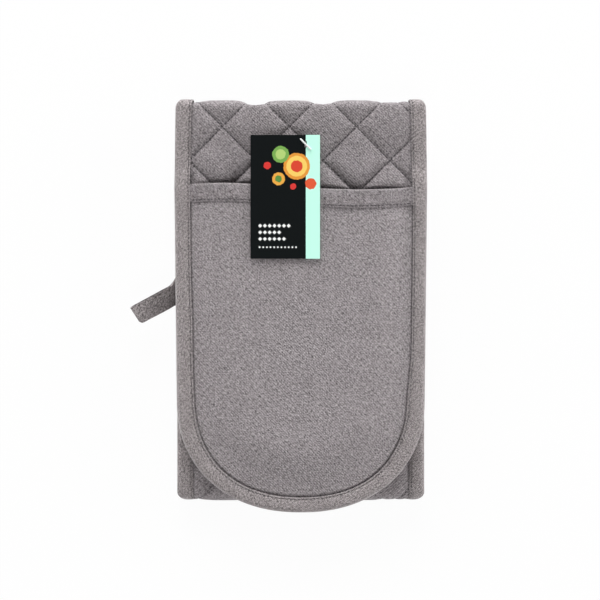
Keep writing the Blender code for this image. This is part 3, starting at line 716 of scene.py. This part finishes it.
# (tape, its side of the strip, the quilt that it edges, the nodes that it stands for)
tapes = (
    ("front_tape", 1, "front_quilt", ("front_binding", "top_fold_binding_left", "top_fold_binding_right")),
    ("middle_tape_top_left", -1, "middle_quilt_top", ("middle_binding_left",)),
    ("middle_tape_top_right", 1, "middle_quilt_top", ("middle_binding_right",)),
    ("middle_tape_bottom_left", -1, "middle_quilt_bottom", ("bottom_fold_binding_left",)),
    ("middle_tape_bottom_right", 1, "middle_quilt_bottom", ("bottom_fold_binding_right",)),
    ("back_tape", 1, "back_quilt", ("back_binding",)),
)
for name, sign, quilt, nodes in tapes:
    start, end, body, fold = panels[quilt]
    path = tape_path(start, end, sign)
    run = run_along(path[:, :2])
    for side, ending, face in ((1, "upper", "lining"), (-1, "under", "shell")):
        sections, wrapped = tape_sections(path, side)
        steps = np.linalg.norm(np.diff(folded(path[:, 0], path[:, 1], side * tape_half), axis=0), axis=1)
        laid = np.concatenate(([0], np.cumsum(np.maximum(steps, np.diff(run)))))
        weaves = np.stack(np.broadcast_arrays(laid[:, None], side * wrapped, weave_apart), axis=-1)
        if side > 0:
            sections, weaves = sections[::-1], weaves[::-1]
        tape = tube(f"{name}_{ending}", sections, weaves, tape_twill)
        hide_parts(*nodes)
        bend_over(tape)

# The hanging loop is a short length of the same tape, doubled back on itself and caught by both ends in the
# left edge. Its turned end is cut on the slant, and it is twisted a little where it comes out of the edge.
loop_width, loop_ply, loop_reach, loop_half_height = 0.0135, 0.0009, 0.0375, 0.0034
loop_root, loop_neck, loop_lean, loop_bend = 0.00115, 0.010, math.radians(28.5), 0.012
loop_pivot, loop_sag, loop_skew, loop_bow, loop_twist = (-0.074997, 0.009867), 0.0021, 0.0016, 0.0004, 0.0105
loop_flare, flare_reach, flare_height = 0.0040, 0.007, 0.0012
# shares of the tape's width, and the shares of the full reach there
slant_places, slant_reaches = (0, 0.12, 0.88, 1), (0.74, 0.80, 0.97, 1.0)


def loop_outline():
    """(reach, outer height, inner reach, inner height) round the doubled tape from its root over the top."""
    far = loop_reach - loop_half_height
    inner = loop_half_height - loop_ply
    share = np.linspace(0, 1, 12)
    height = loop_root + (loop_half_height - loop_root) * eased(share)
    points = [(loop_neck * s, h, loop_neck * s, h - loop_ply) for s, h in zip(share, height)]
    for s in np.linspace(0, 1, 14)[1:-1]:
        reach = loop_neck + (far - loop_neck) * s
        points.append((reach, loop_half_height, reach, inner))
    for turn in np.linspace(0, math.pi / 2, 8):
        out, up = math.sin(turn), math.cos(turn)
        points.append((far + loop_half_height * out, loop_half_height * up, far + inner * out, inner * up))
    points += [(a, -b, c, -d) for a, b, c, d in points[-2::-1]]
    small = loop_root - loop_ply
    for turn in np.linspace(-math.pi / 2, -1.5 * math.pi, 8)[1:-1]:
        reach, rise = math.cos(turn), math.sin(turn)
        points.append((loop_root * reach, loop_root * rise, small * reach, small * rise))
    return np.array(points)


ring = loop_outline()
run = run_along(ring[:, :2])
layers = []
for share in (*np.linspace(0, 0.12, 4), *np.linspace(0.2, 0.8, 7), *np.linspace(0.88, 1, 4)):
    for reach, height in ((ring[:, 0], ring[:, 1]), (ring[:, 2], ring[:, 3])):
        stretched = np.where(reach > 0, reach * np.interp(share, slant_places, slant_reaches), reach)
        x = loop_pivot[0] - stretched * math.cos(loop_lean)
        y = loop_pivot[1] + loop_width / math.cos(loop_lean) * (share - 0.5)
        y = y - np.maximum(stretched, 0) * math.sin(loop_lean)
        y = y + loop_skew * (1 - height / loop_half_height) / 2 - loop_sag
        y = y + loop_flare * share * np.clip(1 - reach / flare_reach, 0, 1) ** 2 * (height < flare_height)
        bow = loop_bow * math.sin(math.pi * share) * np.sign(height) * np.clip(reach / loop_neck, 0, 1)
        bow = bow - loop_twist * (1 - share) * np.clip(1 - reach / loop_reach, 0, 1)
        place = np.stack((x, y, middle_level + height + bow), axis=1)
        layers.append((place, np.stack((run, np.full(len(run), share * loop_width), height), axis=1)))
points, weave = (np.concatenate([layer[part] for layer in layers[0::2] + layers[1::2]]) for part in (0, 1))
faces, count, rows = [], len(ring), len(layers) // 2
shift, last = count * rows, count * (rows - 1)
for place in range(count):
    after = (place + 1) % count
    for low in range(0, last, count):
        high = low + count
        faces.append((low + place, low + after, high + after, high + place))
        faces.append((shift + low + after, shift + low + place, shift + high + place, shift + high + after))
    faces.append((place, shift + place, shift + after, after))
    faces.append((last + after, shift + last + after, shift + last + place, last + place))
loop = mesh_piece("loop_tape", points, faces, weave, tape_twill)
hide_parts("hanging_loop")
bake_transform(loop)

# The swing card is stiff black card, printed with a pale green band, plain rings and discs in warm colours,
# and rows of small diamonds. It hangs from a white plastic fastener through its slot.
card_level, card_thickness, card_width, card_length = 0.0393, 0.0004, 0.0496, 0.0884
pin_across, pin_along, card_left, card_top = 0.0035, 0.2648, -0.0359, 0.2715
slot_length, slot_width = 0.0050, 0.0017
# in mm from the card's lower left corner, the lowest layer of print first: (across, up, radius, colour)
band_left, white = 39.5, (240, 241, 240)
discs = (
    (33.0, 66.0, 9.5, (226, 150, 62)),
    (33.0, 66.0, 7.4, (244, 205, 104)),
    (33.0, 66.0, 4.2, (214, 72, 52)),
    (21.5, 74.5, 6.0, (120, 168, 84)),
    (21.5, 74.5, 3.6, (176, 206, 120)),
    (20.0, 57.0, 4.6, (232, 168, 74)),
    (20.0, 57.0, 2.4, (92, 142, 70)),
    (43.0, 53.5, 4.0, (222, 92, 60)),
    (30.5, 51.5, 2.2, (214, 60, 56)),
    (12.0, 66.5, 2.6, (214, 60, 56)),
)
# the discs' edges waver by this many millimetres
disc_waver, disc_waver_scale = 1.2, 0.55
# (up, how many, half a diamond's width, pitch) of each row of diamonds, from its left end
rows_left = 5.2
diamond_rows = ((23.5, 7, 1.45, 3.4), (18.8, 5, 1.45, 3.4), (14.1, 6, 1.45, 3.4), (8.2, 11, 0.8, 2.6))


def as_mesh(drawn):
    """The plain mesh that a curve or modifier makes, in place of what drew it."""
    mesh = bpy.data.meshes.new_from_object(drawn.evaluated_get(bpy.context.evaluated_depsgraph_get()))
    bpy.data.objects.remove(drawn)
    return mesh


def flat_card():
    """The card with its slot, and each point's place on it kept for the print."""
    curve = bpy.data.curves.new("card", "CURVE")
    curve.dimensions = "2D"
    curve.fill_mode = "BOTH"
    curve.extrude = card_thickness / 2
    sheet = [(0, 0), (card_width, 0), (card_width, card_length), (0, card_length)]
    middle = (pin_across - card_left, card_length - (card_top - pin_along))
    slot, straight, round_end = [], (slot_length - slot_width) / 2, slot_width / 2
    for step in range(20):
        angle = math.pi * (step + 0.5) / 10
        rise = straight if step < 10 else -straight
        slot.append((middle[0] + round_end * math.cos(angle), middle[1] + rise + round_end * math.sin(angle)))
    for outline in (sheet, slot):
        spline = curve.splines.new("POLY")
        spline.points.add(len(outline) - 1)
        for point, (x, y) in zip(spline.points, outline):
            point.co = (x, y, 0, 1)
        spline.use_cyclic_u = True
    mesh = as_mesh(in_scene("card_outline", curve))
    print_places = np.empty(len(mesh.vertices) * 3)
    mesh.vertices.foreach_get("co", print_places)
    mesh.attributes.new("print_place", "FLOAT_VECTOR", "POINT").data.foreach_set("vector", print_places)
    corner = folded(card_left, card_top - card_length, 0)
    mesh.transform(Matrix.Translation((corner[0], corner[1], card_level + card_thickness / 2)))
    return mesh


def printed_card():
    made, tree, shader = plain_shader("printed_card", roughness=0.55, specular=0.06)
    mm = in_mm(tree, "print_place")
    across, up, _ = shader_node(tree, "ShaderNodeSeparateXYZ", {0: mm}).outputs

    def painted(under, mask, shade):
        mixed = shader_node(tree, "ShaderNodeMix", {0: mask, 6: under, 7: linear(*shade)}, data_type="RGBA")
        return mixed.outputs[2]

    black = two_shades(tree, noise(tree, mm, scale=1.2), (5, 9, 10), (12, 16, 17))
    colour = painted(black, maths(tree, "GREATER_THAN", across, band_left), (196, 252, 232))
    uneven = maths(tree, "SUBTRACT", noise(tree, mm, disc_waver_scale, detail=3.0), 0.5)
    wobble = maths(tree, "MULTIPLY", uneven, disc_waver)
    for x, y, radius, shade in discs:
        away = shader_node(tree, "ShaderNodeVectorMath", {0: mm, 1: (x, y, 0)}, operation="DISTANCE")
        disc = maths(tree, "LESS_THAN", maths(tree, "ADD", away.outputs["Value"], wobble), radius)
        colour = painted(colour, disc, shade)
    for y, many, size, pitch in diamond_rows:
        shifted = maths(tree, "DIVIDE", maths(tree, "SUBTRACT", across, rows_left), pitch)
        column = maths(tree, "SUBTRACT", maths(tree, "FRACT", shifted), 0.5)
        beside = maths(tree, "MULTIPLY", maths(tree, "ABSOLUTE", column), pitch)
        above = maths(tree, "ABSOLUTE", maths(tree, "SUBTRACT", up, y))
        diamond = maths(tree, "LESS_THAN", maths(tree, "ADD", beside, above), size)
        for way, end in (("GREATER_THAN", 0.0), ("LESS_THAN", float(many))):
            diamond = maths(tree, "MULTIPLY", diamond, maths(tree, way, shifted, end))
        colour = painted(colour, diamond, white)
    tree.links.new(colour, shader.inputs["Base Color"])
    return made


card_mesh = flat_card()
card_mesh.materials.clear()
card_mesh.materials.append(printed_card())
card = in_scene("printed_card", card_mesh)
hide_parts("swing_card")
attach(card, "swing_card")

# The fastener that holds the card is one piece of moulded white plastic: a thin thread through the card and
# the quilt, with a short bar across each end that keeps it from pulling out.
bar_half_length, bar_turn, bar_radius, thread_radius = 0.0050, math.radians(-45), 0.0006, 0.0004
bar_over_card, bar_behind, bar_sides, bar_rounding = 0.0009, -0.0044, 16, (1.1, 0.6, 0.0)
# a direction that none of the bars lies along
aside = (0.3, 0.5, 0.81)


def mottled(name, dark, light, roughness, grain, **finish):
    """A plain finish of two near shades in a fine grain."""
    made, tree, shader = plain_shader(name, roughness, **finish)
    place = shader_node(tree, "ShaderNodeTexCoord").outputs["Object"]
    tree.links.new(two_shades(tree, noise(tree, place, grain), dark, light), shader.inputs["Base Color"])
    return made


def round_bar(start, end, radius):
    """(points, faces) of a bar with rounded ends."""
    way = (end - start) / np.linalg.norm(end - start)
    one = np.cross(way, aside)
    one /= np.linalg.norm(one)
    two = np.cross(way, one)
    angle = np.linspace(0, 2 * np.pi, bar_sides, endpoint=False)[:, None]
    ring = np.cos(angle) * one + np.sin(angle) * two
    points = [start - way * radius]
    for turn in bar_rounding:
        points += list(start - way * radius * math.sin(turn) + ring * radius * math.cos(turn))
    for turn in bar_rounding[::-1]:
        points += list(end + way * radius * math.sin(turn) + ring * radius * math.cos(turn))
    points.append(end + way * radius)
    last, faces = len(points) - 1, []
    for place in range(bar_sides):
        after = (place + 1) % bar_sides
        faces += [(0, 1 + after, 1 + place), (last, last - bar_sides + place, last - bar_sides + after)]
        for base in range(1, last - bar_sides, bar_sides):
            faces.append((base + place, base + after, base + bar_sides + after, base + bar_sides + place))
    return points, faces


white_plastic = mottled(
    "white_plastic", (222, 224, 222), (240, 241, 240), roughness=0.35, grain=900.0, specular=0.5
)
bar_half = bar_half_length * np.array((math.cos(bar_turn), math.sin(bar_turn), 0))
front_bar = folded(pin_across, pin_along, 0) * (1, 1, 0) + (0, 0, card_level + card_thickness + bar_over_card)
back_bar = folded(pin_across, pin_along, bar_behind)
points, faces = [], []
for start, end, radius in (
    (front_bar - bar_half, front_bar + bar_half, bar_radius),
    (back_bar - bar_half, back_bar + bar_half, bar_radius),
    (back_bar, front_bar, thread_radius),
):
    more, more_faces = round_bar(start, end, radius)
    faces += [tuple(corner + len(points) for corner in face) for face in more_faces]
    points += more
fastener = mesh_piece("plastic_fastener", points, faces, points, white_plastic)
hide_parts("card_fastener")
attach(fastener, "front_flap")

# All the stitches are a matt grey thread. Each row is drawn along the cloth, and the same small rounded
# stitch is set along it at an even pitch with slight differences in length.
thread = mottled("grey_thread", (40, 37, 39), (70, 66, 68), roughness=0.8, grain=1400.0, sheen=0.3)
quilting_stitch = {"Pitch": 0.0031, "Length": 0.0018, "Thickness": 0.00075, "Seed": 7}
tape_stitch = {"Pitch": 0.0028, "Length": 0.0019, "Thickness": 0.00060, "Seed": 3}
hem_stitch = {"Pitch": 0.0028, "Length": 0.0019, "Thickness": 0.00070, "Seed": 9}
# each seam's height against its cloth, and how near the tape and how far into a pocket the quilting shows
quilting_proud, tape_sunk, hem_proud = 0.00025, 0.00015, 0.00005
quilting_clear, quilting_hidden = 0.0004, 0.012
# the rows of points that the seams follow, and a stitch's least and greatest share of its usual length
row_step, row_reach, row_half, lines_each_way = 0.0006, 0.75, 0.092, 26
hem_row_half, hem_row_steps, shortest, longest = 0.0775, 180, 0.85, 1.12


def stitching_tree():
    tree = bpy.data.node_groups.new("stitching", "GeometryNodeTree")
    tree.interface.new_socket("Rows", in_out="INPUT", socket_type="NodeSocketGeometry")
    for name, value in quilting_stitch.items():
        kind = "NodeSocketInt" if name == "Seed" else "NodeSocketFloat"
        tree.interface.new_socket(name, in_out="INPUT", socket_type=kind).default_value = value
    tree.interface.new_socket("Stitches", in_out="OUTPUT", socket_type="NodeSocketGeometry")
    given = shader_node(tree, "NodeGroupInput").outputs
    curve = shader_node(tree, "GeometryNodeMeshToCurve", {"Mesh": given["Rows"]}).outputs[0]
    even = {"Curve": curve, "Length": given["Pitch"]}
    places = shader_node(tree, "GeometryNodeResampleCurve", even, mode="LENGTH").outputs[0]
    tangent = shader_node(tree, "GeometryNodeInputTangent").outputs[0]
    lie = shader_node(tree, "FunctionNodeAlignRotationToVector", {"Vector": tangent}, axis="X").outputs[0]
    ball_sizes = {"Segments": 6, "Rings": 4, "Radius": 0.5}
    ball = shader_node(tree, "GeometryNodeMeshUVSphere", ball_sizes).outputs[0]
    ball = shader_node(tree, "GeometryNodeSetShadeSmooth", {"Geometry": ball}).outputs[0]
    longer = shader_node(tree, "FunctionNodeRandomValue", {2: shortest, 3: longest, "Seed": given["Seed"]})
    length = maths(tree, "MULTIPLY", given["Length"], longer.outputs[1])
    sides = {0: length, 1: given["Thickness"], 2: given["Thickness"]}
    size = shader_node(tree, "ShaderNodeCombineXYZ", sides).outputs[0]
    placing = {"Points": places, "Instance": ball, "Rotation": lie, "Scale": size}
    placed = shader_node(tree, "GeometryNodeInstanceOnPoints", placing).outputs[0]
    real = shader_node(tree, "GeometryNodeRealizeInstances", {"Geometry": placed}).outputs[0]
    dressed = shader_node(tree, "GeometryNodeSetMaterial", {"Geometry": real, "Material": thread}).outputs[0]
    shader_node(tree, "NodeGroupOutput", {"Stitches": dressed})
    return tree


stitching = stitching_tree()
sockets = {item.name: item.identifier for item in stitching.interface.items_tree if item.in_out == "INPUT"}


def stitched(name, rows, stitch):
    """The stitches along these rows of points, as one plain mesh."""
    points, edges = [], []
    for row in rows:
        edges += [(len(points) + place, len(points) + place + 1) for place in range(len(row) - 1)]
        points += [tuple(point) for point in row]
    mesh = bpy.data.meshes.new(name + "_rows")
    mesh.from_pydata(points, edges, [])
    drawn = in_scene(name + "_rows", mesh)
    modifier = drawn.modifiers.new("stitching", "NODES")
    modifier.node_group = stitching
    for socket, value in stitch.items():
        modifier[sockets[socket]] = value
    made = in_scene(name, as_mesh(drawn))
    made.data.name = name
    return made


def runs_where(kept, row):
    """The unbroken stretches of a row of points where kept is true."""
    found, current = [], []
    for keep, point in zip((*kept, False), (*row, None)):
        if keep:
            current.append(point)
        elif current:
            found.append(current)
            current = []
    return [part for part in found if len(part) > 3]


def quilting_rows(start, end, side):
    """The lines of quilting stitches on one face, leaving out what a pocket hides."""
    rows = []
    steps = np.arange(-row_reach, row_reach, row_step) / math.sqrt(2)
    for sign in (1, -1):
        for number in range(-lines_each_way, lines_each_way + 1):
            across = quilt_crossing[0] + steps
            along = quilt_crossing[1] + number * quilt_pitch * math.sqrt(2) - sign * steps
            kept = (along > start) & (along < end) & (np.abs(across) < row_half)
            across, along = across[kept], along[kept]
            if len(across) < 4:
                continue
            clear = under_tape(across, along) > tape_leg + quilting_clear
            if side > 0:
                clear &= from_tip(along) > mouth_at(across) - quilting_hidden
            height = side * (quilt_half(across, along, side) + quilting_proud)
            rows += runs_where(clear, folded(across, along, height))
    return rows


for panel, (start, end, body, fold) in panels.items():
    for side, ending in ((1, "lining"), (-1, "shell")):
        made = stitched(f"{panel}_{ending}_stitches", quilting_rows(start, end, side), quilting_stitch)
        bend_over(made)
for name, sign, quilt, nodes in tapes:
    start, end, body, fold = panels[quilt]
    across, along, in_across, in_along = tape_path(start, end, sign).T
    reach = seam_from_edge * tape_share(across, along)
    for side, ending in ((1, "upper"), (-1, "under")):
        height = side * (tape_height(across, along, side) - tape_sunk)
        row = folded(across + in_across * reach, along + in_along * reach, height)
        made = stitched(f"{name}_{ending}_stitches", [row], tape_stitch)
        bend_over(made)
for end in ("front", "back"):
    across = np.linspace(-hem_row_half, hem_row_half, hem_row_steps)
    height = pocket_height(hem_high, across, mouth_at(across) - hem_depth) + hem_proud
    along = mouth_at(across) - hem_seam
    along = along if end == "front" else strip_length - along
    made = stitched(end + "_hem_stitches", [folded(across, along, height)], hem_stitch)
    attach(made, end + "_flap")

# The glove lies on a plain white floor. Four soft boxes stand low round it, the strongest behind its top
# fold, and a bright horizon fills in between them. The camera sees the floor and what is behind it as white.
floor_level, floor_half, glove_middle = -0.0004, 2, Vector((0.016, 0, 0.02))
soft_boxes = (
    ("box_north", (-0.2, 2.9, 1.4), 1.6, 83),
    ("box_east", (2.9, 0.6, 0.9), 1.4, 36),
    ("box_west", (-2.3, 2.0, 0.9), 1.4, 26),
    ("box_south", (0.3, -1.9, 2.7), 1.4, 26),
)
floor_mesh = bpy.data.meshes.new("floor")
corners = [(x * floor_half, y * floor_half, floor_level) for x, y in ((-1, -1), (1, -1), (1, 1), (-1, 1))]
floor_mesh.from_pydata(corners, [], [(0, 1, 2, 3)])
floor = in_scene("floor", floor_mesh)
floor_finish, tree, shader = plain_shader("white_floor", roughness=0.9)
shader.inputs["Base Color"].default_value = (0.88, 0.88, 0.88, 1)
glow = shader_node(tree, "ShaderNodeEmission", {"Color": (1, 1, 1, 1), "Strength": 1.0})
share = maths(tree, "MULTIPLY", shader_node(tree, "ShaderNodeLightPath").outputs["Is Camera Ray"], 0.95)
mixed = shader_node(tree, "ShaderNodeMixShader", {0: share, 1: shader.outputs[0], 2: glow.outputs[0]})
tree.links.new(mixed.outputs[0], tree.nodes["Material Output"].inputs["Surface"])
floor_mesh.materials.append(floor_finish)

world = bpy.data.worlds.new("studio")
bpy.context.scene.world = world
world.use_nodes = True
tree = world.node_tree
way = shader_node(tree, "ShaderNodeTexCoord").outputs["Generated"]
height = shader_node(tree, "ShaderNodeSeparateXYZ", {0: way}).outputs[2]
horizon = {"Value": height, "From Min": 0.50, "From Max": 0.22, "To Min": 0.15, "To Max": 1.8}
strength = shader_node(tree, "ShaderNodeMapRange", horizon).outputs[0]
path = shader_node(tree, "ShaderNodeLightPath").outputs
for ray in ("Is Camera Ray", "Is Glossy Ray", "Is Transmission Ray"):
    strength = maths(tree, "MAXIMUM", strength, path[ray])
background = tree.nodes["Background"]
background.inputs["Color"].default_value = (1, 1, 1, 1)
tree.links.new(strength, background.inputs["Strength"])

for name, place, size, power in soft_boxes:
    light = bpy.data.lights.new(name, "AREA")
    light.shape = "SQUARE"
    light.size = size
    light.energy = power
    soft_box = in_scene(name, light)
    soft_box.location = place
    soft_box.rotation_euler = (glove_middle - Vector(place)).to_track_quat("-Z", "Y").to_euler()

camera = bpy.data.cameras.new("camera")
camera.lens = 80.7
camera.sensor_width = 36
camera_object = in_scene("camera", camera)
camera_object.location = (0.0159, 0.0041, 1.0)
bpy.context.scene.camera = camera_object
bpy.context.scene.view_settings.view_transform = "Standard"
